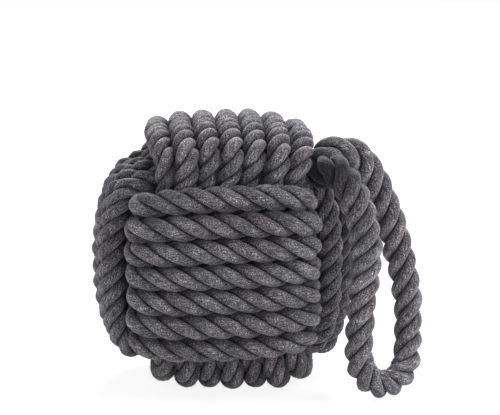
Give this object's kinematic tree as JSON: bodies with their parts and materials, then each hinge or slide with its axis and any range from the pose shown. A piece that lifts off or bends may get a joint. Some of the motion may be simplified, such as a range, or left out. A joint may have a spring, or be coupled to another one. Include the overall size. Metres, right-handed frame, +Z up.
{
  "type": "rope knot doorstop",
  "caption": "Doorstop tied as a heavy cubical ball knot of thick laid rope round a cast weight, with a slack carrying loop at one top corner.",
  "frame": {"origin": "middle of the flat that the knot stands on, under the middle turn of those that run front to back", "axes": "+Z up, +X to the side where the carrying loop hangs, -Y to the front, where the level turns lie outermost"},
  "size_m": [0.1948, 0.1548, 0.1586],
  "materials": {
    "rope": "matt, heathered charcoal cotton",
    "weight": "rough cast concrete"
  },
  "bodies": {
    "knot": {"core_weight": "weight", "front_turn_1": "rope", "front_turn_2": "rope", "front_turn_3": "rope", "front_turn_4": "rope", "front_turn_5": "rope", "front_turn_6": "rope", "front_turn_7": "rope", "top_turn_1": "rope", "top_turn_2": "rope", "top_turn_3": "rope", "top_turn_4": "rope", "top_turn_5": "rope", "top_turn_6": "rope", "top_turn_7": "rope", "side_turn_1": "rope", "side_turn_2": "rope", "side_turn_3": "rope", "side_turn_4": "rope", "side_turn_5": "rope", "side_turn_6": "rope", "side_turn_7": "rope", "handle_root_upper": "rope", "handle_root_lower": "rope"},
    "handle": {"handle_loop": "rope"}
  },
  "joints": [
    {"name": "handle_lift", "type": "hinge", "parent": "knot", "child": "handle", "pos_m": [0.06539, -0.04192, 0.13432], "axis": [-0.2735, -0.9186, -0.2853], "range_deg": [0, 120]}
  ]
}
